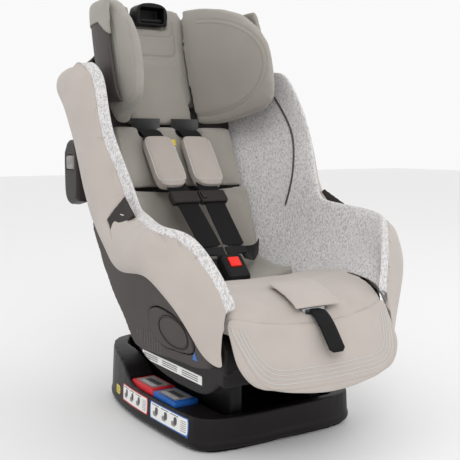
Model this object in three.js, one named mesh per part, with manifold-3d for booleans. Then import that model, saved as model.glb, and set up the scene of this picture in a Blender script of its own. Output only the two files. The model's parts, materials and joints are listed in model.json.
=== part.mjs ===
// Convertible child seat on a recline base, in millimetres.
// Origin: centre of the base underside. Front is -Y, up is +Z.

import * as THREE from 'three';
import Module from 'manifold-3d';
import { mergeVertices } from 'three/addons/utils/BufferGeometryUtils.js';

const wasm = await Module();
wasm.setup();

// ---- driving dimensions ----
const GAP = 0.35;                 // clearance between neighbouring pieces
const RECLINE_CENTRE = [-20, 420]; // y, z of the arc the seat rolls on
const RUNNER_RADIUS = 358;
const BASE_FRONT = -204;
const BASE_REAR = 160;
const SOLE = 3;                   // rubber sole under the tub
const FLOOR = 14;                 // inside floor of the tub
const CAVITY_HALF = 90;
const UNDER_HALF = 83;
const BACK_TILT = 0.293;          // headrest travel, y per z
const STRAP_WIDTH = 38;
const STRAP_THICK = 2;
const COVER_THICK = 7;

// ---- materials ----
const TAUPE = { color: 0xbab1aa, roughness: 0.95, metalness: 0 };
const HEATHER = { color: 0xc8c6c5, roughness: 0.95, metalness: 0 };
const INNER = { color: 0x9f988f, roughness: 0.95, metalness: 0 };
const PLASTIC = { color: 0x4a4442, roughness: 0.5, metalness: 0 };
const BASE = { color: 0x262120, roughness: 0.5, metalness: 0 };
const BLACK = { color: 0x1a1a1b, roughness: 0.6, metalness: 0 };
const WEBBING = { color: 0x141415, roughness: 0.85, metalness: 0 };
const FOAM = { color: 0xd8d8d6, roughness: 0.9, metalness: 0 };
const RED = { color: 0xd02832, roughness: 0.45, metalness: 0 };
const BUTTON_RED = { color: 0xff3a32, roughness: 0.4, metalness: 0 };
const BLUE = { color: 0x1e5aaa, roughness: 0.45, metalness: 0 };
const GREY = { color: 0x8b8886, roughness: 0.5, metalness: 0 };
const RUBBER = { color: 0x1c1b1b, roughness: 0.9, metalness: 0 };
const STEEL = { color: 0xb9bbbd, roughness: 0.3, metalness: 1 };

const seat = new THREE.Group();
seat.name = 'convertible_child_seat';
export default seat;

// ---- solid helpers ----

function toManifold(geometry) {
  let g = geometry.clone();
  g.deleteAttribute('normal');
  g.deleteAttribute('uv');
  g = mergeVertices(g, 1e-3);
  const vertProperties = new Float32Array(g.attributes.position.array);
  const triVerts = new Uint32Array(g.index.array);
  const mesh = new wasm.Mesh({ numProp: 3, vertProperties, triVerts });
  return new wasm.Manifold(mesh);
}

function fromManifold(solid) {
  const mesh = solid.getMesh();
  const g = new THREE.BufferGeometry();
  g.setAttribute('position', new THREE.BufferAttribute(new Float32Array(mesh.vertProperties), 3));
  g.setIndex(new THREE.BufferAttribute(new Uint32Array(mesh.triVerts), 1));
  return g;
}

// Keeps the largest of the pieces a cut leaves.
function mainPiece(solid) {
  const pieces = solid.decompose();
  pieces.sort((a, b) => b.volume() - a.volume());
  return pieces[0];
}

function cut(geometry, tools) {
  let solid = toManifold(geometry);
  for (const tool of tools) {
    solid = solid.subtract(toManifold(tool));
  }
  return fromManifold(mainPiece(solid));
}

function join(geometries) {
  let solid = toManifold(geometries[0]);
  for (const g of geometries.slice(1)) {
    solid = solid.add(toManifold(g));
  }
  return fromManifold(solid);
}

// Grows a solid by moving every vertex out along its normal.
function grown(geometry, distance = GAP) {
  let g = geometry.clone();
  g.deleteAttribute('normal');
  g.deleteAttribute('uv');
  g = mergeVertices(g, 1e-3);
  g.computeVertexNormals();
  const p = g.attributes.position;
  const n = g.attributes.normal;
  for (let i = 0; i < p.count; i++) {
    p.setXYZ(i,
      p.getX(i) + n.getX(i) * distance,
      p.getY(i) + n.getY(i) * distance,
      p.getZ(i) + n.getZ(i) * distance);
  }
  g.deleteAttribute('normal');
  return g;
}

// Solid between two grids of points, front[i][j] and back[i][j].
function slab(front, back) {
  const rows = front.length;
  const cols = front[0].length;
  const points = [...front.flat(), ...back.flat()];
  const half = rows * cols;
  const tri = [];
  const quad = (a, b, c, d) => tri.push(a, b, c, a, c, d);
  for (let i = 0; i < rows - 1; i++) {
    for (let j = 0; j < cols - 1; j++) {
      const a = i * cols + j;
      const b = a + 1;
      const c = a + cols + 1;
      const d = a + cols;
      quad(a, b, c, d);
      quad(half + a, half + d, half + c, half + b);
    }
  }
  const rim = [];
  for (let j = 0; j < cols - 1; j++) rim.push(j);
  for (let i = 0; i < rows - 1; i++) rim.push(i * cols + cols - 1);
  for (let j = cols - 1; j > 0; j--) rim.push((rows - 1) * cols + j);
  for (let i = rows - 1; i > 0; i--) rim.push(i * cols);
  for (let k = 0; k < rim.length; k++) {
    const a = rim[k];
    const b = rim[(k + 1) % rim.length];
    quad(b, a, half + a, half + b);
  }
  return outward(points, tri);
}

// Solid through a row of closed rings, capped at both ends.
function loft(rings) {
  const n = rings[0].length;
  const points = rings.flat();
  const tri = [];
  for (let i = 0; i < rings.length - 1; i++) {
    for (let j = 0; j < n; j++) {
      const a = i * n + j;
      const b = i * n + (j + 1) % n;
      tri.push(a, b, b + n, a, b + n, a + n);
    }
  }
  const first = capTriangles(rings[0]);
  const last = capTriangles(rings[rings.length - 1]);
  const start = (rings.length - 1) * n;
  for (const [a, b, c] of first) tri.push(a, c, b);
  for (const [a, b, c] of last) tri.push(start + a, start + b, start + c);
  return outward(points, tri);
}

// Triangles of a flat closed ring, wound as the ring is.
function capTriangles(ring) {
  const normal = new THREE.Vector3();
  ring.forEach(([x, y, z], i) => {
    const [u, v, w] = ring[(i + 1) % ring.length];
    normal.x += (y - v) * (z + w);
    normal.y += (z - w) * (x + u);
    normal.z += (x - u) * (y + v);
  });
  normal.normalize();
  const helper = Math.abs(normal.z) < 0.9 ? new THREE.Vector3(0, 0, 1) : new THREE.Vector3(1, 0, 0);
  const e1 = new THREE.Vector3().crossVectors(helper, normal).normalize();
  const e2 = new THREE.Vector3().crossVectors(normal, e1);
  const flat = ring.map(([x, y, z]) => {
    const p = new THREE.Vector3(x, y, z);
    return new THREE.Vector2(p.dot(e1), p.dot(e2));
  });
  return THREE.ShapeUtils.triangulateShape(flat, []);
}

// Geometry from points and triangles, turned so its faces point out.
function outward(points, tri) {
  let volume = 0;
  for (let k = 0; k < tri.length; k += 3) {
    const [a, b, c] = [points[tri[k]], points[tri[k + 1]], points[tri[k + 2]]];
    volume += a[0] * (b[1] * c[2] - b[2] * c[1])
      - a[1] * (b[0] * c[2] - b[2] * c[0])
      + a[2] * (b[0] * c[1] - b[1] * c[0]);
  }
  const g = new THREE.BufferGeometry();
  g.setAttribute('position', new THREE.Float32BufferAttribute(points.flat(), 3));
  const index = volume > 0 ? tri : [...tri].reverse();
  g.setIndex(index);
  return g;
}

// Side-view outline [y, z] given thickness from x0 to x1.
function plate(outline, x0, x1) {
  const ringAt = (x) => outline.map(([y, z]) => [x, y, z]);
  return loft([ringAt(x0), ringAt(x1)]);
}

function box(x0, x1, y0, y1, z0, z1) {
  return plate([[y0, z0], [y1, z0], [y1, z1], [y0, z1]], x0, x1);
}

// Box with chamfered edges along x, for moulded blocks.
function block(x0, x1, y0, y1, z0, z1, c = 2) {
  const outline = [
    [y0 + c, z0], [y1 - c, z0], [y1, z0 + c], [y1, z1 - c],
    [y1 - c, z1], [y0 + c, z1], [y0, z1 - c], [y0, z0 + c],
  ];
  const inset = outline.map(([y, z]) => [
    y + Math.sign((y0 + y1) / 2 - y) * c * 0.7,
    z + Math.sign((z0 + z1) / 2 - z) * c * 0.7,
  ]);
  const ringAt = (x, o) => o.map(([y, z]) => [x, y, z]);
  return loft([ringAt(x0, inset), ringAt(x0 + c, outline), ringAt(x1 - c, outline), ringAt(x1, inset)]);
}

// Flat strap along a path, its width along x unless a side vector is given.
function strap(path, width, thick, sides = null) {
  const rings = path.map((p, i) => {
    const before = path[Math.max(0, i - 1)];
    const after = path[Math.min(path.length - 1, i + 1)];
    const along = new THREE.Vector3(...after).sub(new THREE.Vector3(...before)).normalize();
    const side = sides ? new THREE.Vector3(...sides[i]) : new THREE.Vector3(1, 0, 0);
    side.addScaledVector(along, -side.dot(along)).normalize();
    const up = new THREE.Vector3().crossVectors(along, side);
    const corner = (s, t) => new THREE.Vector3(...p)
      .addScaledVector(side, s * width / 2)
      .addScaledVector(up, t * thick / 2)
      .toArray();
    return [corner(-1, -1), corner(1, -1), corner(1, 1), corner(-1, 1)];
  });
  return loft(rings);
}

function mirrored(geometry) {
  const g = geometry.index ? geometry.clone() : mergeVertices(geometry.clone());
  g.scale(-1, 1, 1);
  const index = [...g.index.array].reverse();
  g.setIndex(index);
  return g;
}

function add(name, geometry, look) {
  const g = geometry.clone();
  if (!g.attributes.normal) g.computeVertexNormals();
  const mesh = new THREE.Mesh(g, new THREE.MeshStandardMaterial(look));
  mesh.name = name;
  seat.add(mesh);
}

function addPair(name, geometry, look) {
  add(`${name}_right`, geometry, look);
  add(`${name}_left`, mirrored(geometry), look);
}

// Value at x on a curve of [x, value] points.
function along(curve, x) {
  if (x <= curve[0][0]) return curve[0][1];
  for (let i = 1; i < curve.length; i++) {
    const [x0, v0] = curve[i - 1];
    const [x1, v1] = curve[i];
    if (x <= x1) return v0 + (v1 - v0) * (x - x0) / (x1 - x0);
  }
  return curve[curve.length - 1][1];
}

const range = (n) => Array.from({ length: n }, (_, i) => i);
const mix = (a, b, t) => a.map((v, i) => v + (b[i] - v) * t);

// The outline [[u, v], ...] as a smooth curve through its points, with each span in n steps.
function curved(outline, n, closed = true) {
  const points = outline.map(([u, v]) => new THREE.Vector3(u, v, 0));
  const curve = new THREE.CatmullRomCurve3(points, closed, 'centripetal');
  const spans = closed ? outline.length : outline.length - 1;
  const steps = range(closed ? spans * n : spans * n + 1);
  return steps.map((i) => {
    const p = curve.getPoint(i / (spans * n));
    return [p.x, p.y];
  });
}

// Point pulled towards a centre by a distance.
function pulled(p, centre, distance) {
  const v = new THREE.Vector3(...centre).sub(new THREE.Vector3(...p));
  const length = v.length();
  return new THREE.Vector3(...p).addScaledVector(v, distance / length).toArray();
}

// ---- base ----

// Half outline of the tub seen from above, [x, y] from the front round to the rear.
const TUB_HALF = [
  [0, -204], [60, -203], [98, -198], [120, -190], [133, -172], [138, -130], [140, -60],
  [139, 0], [132, 60], [118, 112], [95, 145], [60, 158], [0, 160],
];
// Height of the tub's wall along y.
const WALL_TOP = [
  [-204, 46], [-172, 47], [-120, 47], [-10, 48], [12, 56], [35, 70], [60, 79], [106, 85], [160, 87],
];

const tubHalf = curved(TUB_HALF, 2, false);

function tubRing(z, inset) {
  const half = tubHalf.map(([x, y]) => {
    const ix = Math.max(0, x - inset * Math.min(1, x / 60));
    const iy = y - Math.sign(y + 22) * inset * (1 - Math.min(1, x / 150));
    return [ix, iy];
  });
  const left = half.slice(1, -1).reverse().map(([x, y]) => [-x, y]);
  return [...half, ...left].map(([x, y]) => [x, y, z]);
}

const wallOutline = [...curved(WALL_TOP, 3, false), [170, 87], [170, 130], [-215, 130], [-215, 46]];
const aboveWalls = plate(wallOutline, -160, 160);

const UNDER_REAR = 84;
const tubCavity = [
  [-CAVITY_HALF, -186], [CAVITY_HALF, -186], [CAVITY_HALF, 104], [70, 140], [-70, 140], [-CAVITY_HALF, 104],
];
const cavityCutter = loft([
  tubCavity.map(([x, y]) => [x, y, FLOOR]),
  tubCavity.map(([x, y]) => [x * 1.02, y * 1.01, 120]),
]);

// The index blocks sit in a recess along the top of each side wall.
const LEDGE_X = [92.5, 131];
const LEDGE_Y = [-124, 12];
const LEDGE_Z = 44;
const ledgeCutter = box(LEDGE_X[0] - 8, LEDGE_X[1], LEDGE_Y[0], LEDGE_Y[1], LEDGE_Z, 120);

const sole = loft([tubRing(0, 9), tubRing(SOLE, 7)]);
add('base_sole', sole, RUBBER);

const tubOuter = loft([
  tubRing(SOLE + GAP, 3), tubRing(SOLE + 5, 0), tubRing(14, 0), tubRing(16, 1.5), tubRing(110, 6),
]);
const tub = cut(tubOuter, [aboveWalls, cavityCutter, ledgeCutter, mirrored(ledgeCutter)]);
add('base_tub', tub, BASE);

const redBlock = block(LEDGE_X[0] + GAP, LEDGE_X[1] - GAP, -58, 10, LEDGE_Z + GAP, 55, 1.5);
addPair('index_red', redBlock, RED);
const blueBlock = block(LEDGE_X[0] + GAP, LEDGE_X[1] - GAP, LEDGE_Y[0] + GAP, -58.5, LEDGE_Z + GAP, 53.5, 1.5);
addPair('index_blue', blueBlock, BLUE);

// Arc of the runners, [y, z] on a circle about the recline centre.
function arc(radius, y0, y1, n) {
  return range(n).map((i) => {
    const y = y0 + (y1 - y0) * i / (n - 1);
    const dy = y - RECLINE_CENTRE[0];
    return [y, RECLINE_CENTRE[1] - Math.sqrt(radius * radius - dy * dy)];
  });
}

const railTop = arc(RUNNER_RADIUS + 1, -180, 98, 9);
const rail = plate([[-180, FLOOR + GAP], [98, FLOOR + GAP], ...[...railTop].reverse()], 58, 76);
addPair('guide_rail', rail, BLACK);

// ---- seat shell ----

const underTop = 120;
const underOutline = [...arc(RUNNER_RADIUS, -180, UNDER_REAR, 9), [UNDER_REAR, underTop], [-180, underTop]];
const latchPocket = box(-30, 30, -70, -40, 40, 106);
const under = cut(plate(underOutline, -UNDER_HALF, UNDER_HALF), [latchPocket]);
add('undercarriage', under, BASE);

const latch = block(-29, 29, -69, -41, 64, 92, 2);
add('recline_latch', latch, STEEL);

// Seat pan: a broad moulded platform under the cushions.
const panOutline = [
  [-246, underTop + GAP], [8, underTop + GAP], [32, 140], [37, 178], [22, 172], [-60, 170],
  [-150, 172], [-225, 166], [-248, 150],
];
// Skirt of the pan: a lower rail on each side and a lip across the front, open for the recline handle.
const railOutline = [
  [8, 122], [2, 106], [-30, 92], [-80, 82], [-130, 78], [-180, 79], [-208, 88], [-230, 104], [-240, 122],
];
const sideRail = plate(railOutline, 112, 124);
const frontLip = box(-124, 124, -240, -230, 101, 122);
const handleRoom = box(-52, 52, -300, -200, 60, underTop - 1);
let pan = cut(
  join([plate(panOutline, -126, 126), sideRail, mirrored(sideRail), frontLip]),
  [handleRoom],
);

// Back of the shell: a curved panel behind the pads.
const SHELL_TOP = 560;
function shellBackPoint(z, v, depthShift, spread = 0) {
  const angle = v * (Math.PI / 2 + spread);
  const half = along([[150, 126], [220, 146], [320, 152], [480, 162], [518, 146], [534, 116], [SHELL_TOP, 98]], z) + depthShift;
  const side = along([[150, 40], [200, 62], [300, 97], [420, 130], [480, 150], [518, 168], [534, 182], [SHELL_TOP, 196]], z);
  const deep = along([[150, 36], [220, 52], [300, 60], [420, 58], [480, 52], [518, 44], [534, 36], [SHELL_TOP, 28]], z) + depthShift;
  return [half * Math.sin(angle), side + deep * Math.cos(angle), z];
}
const backLevels = [150, 185, 220, 260, 300, 345, 390, 435, 480, 520, 545, SHELL_TOP];
const backSpots = [-1, -0.88, -0.72, -0.52, -0.27, 0, 0.27, 0.52, 0.72, 0.88, 1];
function shellBackSolid(margin) {
  const levels = [...backLevels];
  levels[0] -= margin;
  levels[levels.length - 1] += margin;
  return slab(
    levels.map((z) => backSpots.map((v) => shellBackPoint(z, v, margin, margin / 90))),
    levels.map((z) => backSpots.map((v) => shellBackPoint(z, v, -9 - margin, margin / 90))),
  );
}
const shellBack = shellBackSolid(0);
const shellClear = join([shellBackSolid(0.8), grown(shellBack, 0.8)]);

// Side panel: the lower dark wall with the cup-holder bay.
const SIDE_X = 138;
const SIDE_LEAN = 0.2;
const sideOutline = [
  [-228, 126], [-135, 117], [-27, 111], [-10, 118], [6, 150], [30, 188], [44, 236], [55, 280], [46, 292],
  [10, 276], [-40, 258], [-90, 240], [-170, 240], [-205, 214], [-226, 178], [-236, 150],
];
const sideEdge = curved(sideOutline, 2);
function leaned(outline, depth) {
  return outline.map(([y, z]) => [SIDE_X + depth + SIDE_LEAN * (z - 120), y, z]);
}
function sidePlate(outline, d0, d1) {
  return loft([leaned(outline, d0), leaned(outline, d1)]);
}
const bayOutline = [[-82, 150], [-100, 134], [-150, 132], [-196, 140], [-200, 156], [-176, 176], [-120, 188], [-88, 178]];
const bayEdge = curved(bayOutline, 3);
const bay = sidePlate(bayEdge, -12, 4);
const cupOutline = bayEdge.map(([y, z]) => [
  -142 + (y + 142) * 0.975,
  159 + (z - 159) * 0.96,
]);
const cupHolder = sidePlate(cupOutline, -7, 1.5);
const sideRaw = sidePlate(sideEdge, -11, 0);
const sideClear = join([sidePlate(sideEdge, -12, 1), grown(sideRaw, 1.2)]);
const sidePanel = cut(sideRaw, [bay, shellClear]);
addPair('side_panel', sidePanel, PLASTIC);
addPair('cup_holder', cupHolder, PLASTIC);

// ---- pads ----

// Front face of the back pad on the centre plane, [z, y].
const BACK_FACE = [
  [200, 46], [215, 52], [250, 64], [290, 80], [333, 97], [365, 111], [432, 140], [500, 160], [560, 178],
];
const BOWL = 0.003; // how fast the pads curve forward to the sides

function backPadPoint(z, x, depth) {
  return [x, along(BACK_FACE, z) - BOWL * x * x + depth, z];
}
const padLevels = [335, 360, 385, 410, 432];
const padAcross = [-107, -85, -50, 0, 50, 85, 107];
const slots = [box(17, 61, 100, 240, 415, 431), box(-61, -17, 100, 240, 415, 431)];
const backPadRaw = slab(
  padLevels.map((z) => padAcross.map((x) => backPadPoint(z, x, 0))),
  padLevels.map((z) => padAcross.map((x) => backPadPoint(z, x, 26))),
);

// Lower insert: profile down the back, round the bite and forward, [y, z, normal y, normal z].
const INSERT_PROFILE = [
  [95, 328, -0.97, 0.24], [80, 290, -0.94, 0.34], [66, 250, -0.93, 0.37], [54, 222, -0.85, 0.53],
  [40, 206, -0.6, 0.8], [18, 199, -0.2, 0.98], [-25, 196, 0, 1], [-70, 197, 0, 1],
];
function insertPoint([y, z, ny, nz], x, depth) {
  const raise = BOWL * x * x * (0.55 + 0.45 * Math.abs(ny)) - depth;
  return [x, y + ny * raise, z + nz * raise];
}
const insertAcross = [-110, -80, -45, 0, 45, 80, 110];
const insertRaw = slab(
  INSERT_PROFILE.map((p) => insertAcross.map((x) => insertPoint(p, x, 0))),
  INSERT_PROFILE.map((p) => insertAcross.map((x) => insertPoint(p, x, 18))),
);

// Front cushion, top and underside heights over y, on the centre and at the sides.
const CUSHION_Y = [-79, -110, -150, -190, -225, -250, -266, -275];
const CUSHION_MID = [[-275, 178], [-266, 188], [-250, 199], [-225, 209], [-190, 215], [-150, 213], [-110, 208], [-79, 202]];
const CUSHION_EDGE = [[-275, 190], [-266, 200], [-250, 210], [-225, 217], [-190, 222], [-150, 220], [-110, 212], [-79, 201]];
const CUSHION_UNDER = [[-275, 168], [-250, 168], [-225, 172], [-150, 178], [-79, 178]];
const cushionAcross = [-124, -105, -60, 0, 60, 105, 124];
const cushionPull = (x) => 20 * (x / 124) ** 2; // the front edge curves back to the sides
function cushionPoint(y, x, top) {
  const share = (-79 - y) / 196;
  const yy = y + cushionPull(x) * share;
  if (!top) return [x, yy, along(CUSHION_UNDER, y)];
  const t = (x / 124) ** 2;
  const z = along(CUSHION_MID, y) * (1 - t) + along(CUSHION_EDGE, y) * t;
  return [x, yy, z];
}
const cushionRaw = slab(
  CUSHION_Y.map((y) => cushionAcross.map((x) => cushionPoint(y, x, true))),
  CUSHION_Y.map((y) => cushionAcross.map((x) => cushionPoint(y, x, false))),
);

// Apron: the skirt that hangs from the cushion's front edge.
const APRON_ROWS = [
  { mid: [-277, 176], edge: [-257, 189], half: 124 },
  { mid: [-287, 158], edge: [-266, 170], half: 126 },
  { mid: [-297, 138], edge: [-277, 151], half: 127 },
  { mid: [-305, 119], edge: [-286, 134], half: 124 },
  { mid: [-311, 101], edge: [-293, 117], half: 112 },
];
const apronAcross = [-1, -0.82, -0.5, 0, 0.5, 0.82, 1];
function apronPoint(row, v, depth) {
  const t = v * v;
  const y = row.mid[0] * (1 - t) + row.edge[0] * t + depth;
  const z = row.mid[1] * (1 - t) + row.edge[1] * t - depth * 0.3;
  return [row.half * v, y, z];
}
const apron = slab(
  APRON_ROWS.map((row) => apronAcross.map((v) => apronPoint(row, v, 0))),
  APRON_ROWS.map((row) => apronAcross.map((v) => apronPoint(row, v, 6))),
);

// ---- side wings and arms ----

// Stations round each side: rim seam, outer cover's free edge, inner edge at the pads.
const STATIONS = [
  { rim: [168, 98, 521], edge: [180, 130, 508], inner: [150, 150, 505], bulge: 10 },
  { rim: [179, 66, 522], edge: [190, 131, 488], inner: [140, 152, 485], bulge: 14 },
  { rim: [178, 31, 502], edge: [190, 108, 463], inner: [132, 150, 462], bulge: 17 },
  { rim: [182, 4, 457], edge: [190, 80, 430], inner: [124, 136, 440], bulge: 17 },
  { rim: [182, -16, 413], edge: [190, 62, 400], inner: [118, 122, 412], bulge: 16 },
  { rim: [175, -37, 372], edge: [190, 45, 368], inner: [115, 105, 380], bulge: 18 },
  { rim: [169, -57, 332], edge: [189, 24, 330], inner: [113, 88, 345], bulge: 20 },
  { rim: [169.5, -80, 313], edge: [188, -5, 288], inner: [110, 70, 300], bulge: 20 },
  { rim: [177, -110, 307], edge: [188, -40, 258], inner: [108, 50, 256], bulge: 20 },
  { rim: [183, -139, 303], edge: [188, -72, 234], inner: [106, 22, 214], bulge: 20 },
  { rim: [188, -166, 299], edge: [192, -130, 238], inner: [110, -45, 198], bulge: 20 },
  { rim: [186, -191, 295], edge: [195, -180, 236], inner: [120, -100, 204], bulge: 19 },
  { rim: [172, -211, 289], edge: [192, -214, 219], inner: [127, -150, 218], bulge: 16 },
  { rim: [158, -229, 271], edge: [181, -230, 197], inner: [128, -190, 219], bulge: 13 },
  { rim: [143, -245, 239], edge: [166, -239, 165], inner: [129, -225, 213], bulge: 9 },
  { rim: [136, -251, 221], edge: [154, -248, 144], inner: [129, -240, 206], bulge: 6 },
  { rim: [131, -255, 206], edge: [142, -259, 135], inner: [129, -248, 202], bulge: 3 },
];

const coverStops = [0, 0.12, 0.32, 0.55, 0.8, 1];
const liningStops = [0, 0.1, 0.28, 0.55, 0.8, 1];

function stationCentre({ rim, edge, inner }) {
  const mid = mix(rim, edge, 0.5);
  return mix(mid, inner, 0.4);
}
function coverPoint(station, s) {
  const p = mix(station.rim, station.edge, s);
  p[0] += station.bulge * Math.sin(Math.PI * s) ** 0.6;
  return p;
}
// The lining rolls over the rim, then falls to the pads.
function liningPoint(station, s) {
  const { rim, inner } = station;
  const forward = station.rim[2] > 325 ? 1 : 0;
  const roll = [rim[0] - 14, rim[1] - 10 * forward, rim[2] + 4 * (1 - forward)];
  if (s <= 0.28) {
    const t = s / 0.28;
    const p = mix(rim, roll, t);
    p[1] -= 3 * Math.sin(Math.PI * t) * forward;
    p[2] += 3 * Math.sin(Math.PI * t) * (1 - forward);
    return p;
  }
  const t = (s - 0.28) / 0.72;
  const p = mix(roll, inner, t);
  p[0] += 6 * Math.sin(Math.PI * t);
  return p;
}

function skin(point, stops, lift) {
  return STATIONS.map((station) => stops.map((s) => pulled(point(station, s), stationCentre(station), lift)));
}
const coverRaw = slab(skin(coverPoint, coverStops, 0), skin(coverPoint, coverStops, COVER_THICK));
const liningRaw = slab(skin(liningPoint, liningStops, 0), skin(liningPoint, liningStops, COVER_THICK));
const coreRings = STATIONS.slice(1, -1).map((station) => {
  const centre = stationCentre(station);
  const outer = coverStops.map((s) => pulled(coverPoint(station, s), centre, COVER_THICK + 1));
  const inner = liningStops.slice(1).map((s) => pulled(liningPoint(station, s), centre, COVER_THICK + 1));
  return [...outer.reverse(), ...inner];
});
const coreRaw = loft(coreRings);

// Belt hook on the rim of each side.
function hookSolid(margin) {
  const wide = 1 + margin / 20;
  const corner = (y, z, x) => [x, -82 + (y + 82) * wide, 309 + (z - 309) * wide];
  return slab(
    [
      [corner(-64, 335, 173 + margin), corner(-57, 303, 198 + margin)],
      [corner(-108, 313, 180 + margin), corner(-86, 280, 201 + margin)],
    ],
    [
      [corner(-58, 328, 170 - margin), corner(-53, 300, 189 - margin)],
      [corner(-100, 304, 174 - margin), corner(-81, 279, 191 - margin)],
    ],
  );
}
const hook = hookSolid(0);
const hookClear = hookSolid(1);

// ---- headrest ----

const headTilt = (z) => BACK_TILT * (z - 520);
// Half plan of the headrest shell at z = 520, [x, y] from the centre round to the front edge.
const HEAD_SHELL = [[0, 190], [55, 187], [92, 172], [118, 146], [136, 108], [141, 62], [140, 44]];
const headLevels = [466, 480, 510, 560, 606, 620];
function headShellRow(z, inset) {
  const shrink = along([[466, 0.95], [480, 0.99], [510, 1], [560, 1], [606, 0.98], [620, 0.95]], z);
  const half = HEAD_SHELL.map(([x, y]) => [
    Math.max(0, x * shrink - inset * Math.min(1, x / 100)),
    y - inset * (1 - Math.min(1, x / 150)) + headTilt(z),
  ]);
  const left = half.slice(1).reverse().map(([x, y]) => [-x, y]);
  return [...left, ...half].map(([x, y]) => [x, y, z]);
}
function headShellSolid(margin) {
  const levels = [...headLevels];
  levels[0] -= margin;
  levels[levels.length - 1] += margin;
  return slab(
    levels.map((z) => headShellRow(z, -margin)),
    levels.map((z) => headShellRow(z, 5 + margin)),
  );
}
const headShellRaw = headShellSolid(0);
const headShellClear = headShellSolid(0.6);

// Wing pad: rows from the front edge back, each with its inner and outer face and its height span.
const WING_ROWS = [
  { y: -2, inner: 112, outer: 119, low: 492, high: 548, tilt: 0.2 },
  { y: 8, inner: 107, outer: 125, low: 474, high: 572, tilt: 0.2 },
  { y: 28, inner: 101, outer: 129, low: 462, high: 594, tilt: 0.21 },
  { y: 62, inner: 91, outer: 132, low: 453, high: 619, tilt: 0.23 },
  { y: 100, inner: 80, outer: 127, low: 446, high: 632, tilt: 0.26 },
  { y: 140, inner: 66, outer: 113, low: 438, high: 638, tilt: 0.29 },
  { y: 172, inner: 57, outer: 86, low: 437, high: 637, tilt: 0.29 },
];
const wingHeights = [0, 0.12, 0.35, 0.65, 0.88, 1];
function wingPoint(row, t, face) {
  const z = row.low + (row.high - row.low) * t;
  const round = 1 - 0.55 * Math.abs(2 * t - 1) ** 4;
  const middle = (row.inner + row.outer) / 2;
  const x = middle + (row[face] - middle) * round;
  return [x, row.y + row.tilt * (z - 520), z];
}
const wingRaw = slab(
  WING_ROWS.map((row) => wingHeights.map((t) => wingPoint(row, t, 'inner'))),
  WING_ROWS.map((row) => wingHeights.map((t) => wingPoint(row, t, 'outer'))),
);

const centreLevels = [436, 450, 500, 560, 605, 636];
const centreAcross = [-58, -42, 0, 42, 58];
function centrePoint(z, x, depth) {
  const crown = 6 * (1 - (x / 58) ** 2);
  return [x, 152 + BACK_TILT * (z - 436) - crown + depth, z];
}
const centreRaw = slab(
  centreLevels.map((z) => centreAcross.map((x) => centrePoint(z, x, 0))),
  centreLevels.map((z) => centreAcross.map((x) => centrePoint(z, x, 20))),
);

// Carry handle in the notch at the top of the headrest: an arch with a finger pocket and a squeeze lever.
const HANDLE_Y = 200;
const HANDLE_ARCH = [[28, 604], [29, 624], [26, 634], [16, 639.5], [0, 641]];
const handleRing = (y) => {
  const half = HANDLE_ARCH.map(([x, z]) => [x, y, z]);
  const left = half.slice(0, -1).reverse().map(([x, , z]) => [-x, y, z]);
  return [...half, ...left];
};
const handleFrame = cut(
  loft([handleRing(HANDLE_Y - 14), handleRing(HANDLE_Y + 16)]),
  [block(-22, 22, HANDLE_Y - 30, HANDLE_Y + 10, 608, 633, 1.5)],
);
const handleLever = block(-21.5, 21.5, HANDLE_Y - 10, HANDLE_Y + 6, 608.4, 616, 1.8);
add('handle_frame', handleFrame, BLACK);
add('headrest_lever', handleLever, PLASTIC);
const notch = box(-33, 33, 120, 260, 599, 660);
const centrePad = cut(centreRaw, [notch, headShellClear]);
add('headrest_center', centrePad, INNER);
const wing = cut(wingRaw, [grown(centreRaw, 0.4), headShellClear]);
addPair('headrest_wing', wing, INNER);
const headShell = cut(headShellRaw, [grown(handleFrame), grown(handleLever)]);
add('headrest_shell', headShell, PLASTIC);

// ---- harness ----

const STRAP_PATH = [
  [37, 176, 427], [37, 140, 427], [36.5, 121, 421], [35.5, 104, 405], [32, 82, 374], [28.5, 58, 343],
  [23.6, 14.7, 301.9], [20.5, -39.5, 250.5],
];
const shoulderStrap = strap(STRAP_PATH, STRAP_WIDTH, STRAP_THICK);
addPair('shoulder_strap', shoulderStrap, WEBBING);

const HIP_PATH = [[30, -43, 241], [48, -33, 237], [68, -19, 234], [85, -4, 236], [97, 8, 241]];
const HIP_SIDES = [[0, 0.7, 0.7], [0, 0.6, 0.8], [0.2, 0.3, 0.9], [0.3, 0.2, 0.9], [0.3, 0.2, 0.9]];
const hipStrap = strap(HIP_PATH, 24, STRAP_THICK, HIP_SIDES);

// Padded sleeve over each shoulder strap.
const padPath = [[35.5, 113, 414], [35, 97, 395], [34, 76, 367], [33.6, 52, 336]];
const sleeveOuter = strap(padPath, 53, 15);
const sleeve = cut(sleeveOuter, [grown(shoulderStrap, 0.5), grown(backPadRaw, 0.6)]);

// Chest clip: two halves that carry the straps, with a release button in the right half.
const CLIP = { y: 34, z: 320, tilt: THREE.MathUtils.degToRad(46.5) };
function placed(geometry, { y, z, tilt }) {
  const g = geometry.clone();
  g.rotateX(-tilt);
  g.translate(0, y, z);
  return g;
}
// Before tilting: x across, z up along the straps, -y towards the front.
const clipHalf = block(0.8, 49.5, -6.5, 6.5, -12, 12, 2.5);
const clipSlot = strap([[22.9, 0, -40], [28.7, 0, 40]], STRAP_WIDTH + 2.8, STRAP_THICK + 1.6);
const clipButtonWell = box(3, 11.4, -12, -0.5, -7, 7);
const clipButton = block(3.4, 11, -8.5, -5, -6.6, 6.6, 1);
add('chest_clip_right', placed(cut(clipHalf, [clipSlot, clipButtonWell]), CLIP), PLASTIC);
add('chest_clip_left', placed(mirrored(cut(clipHalf, [clipSlot])), CLIP), PLASTIC);
add('chest_clip_button', placed(clipButton, CLIP), PLASTIC);

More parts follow.
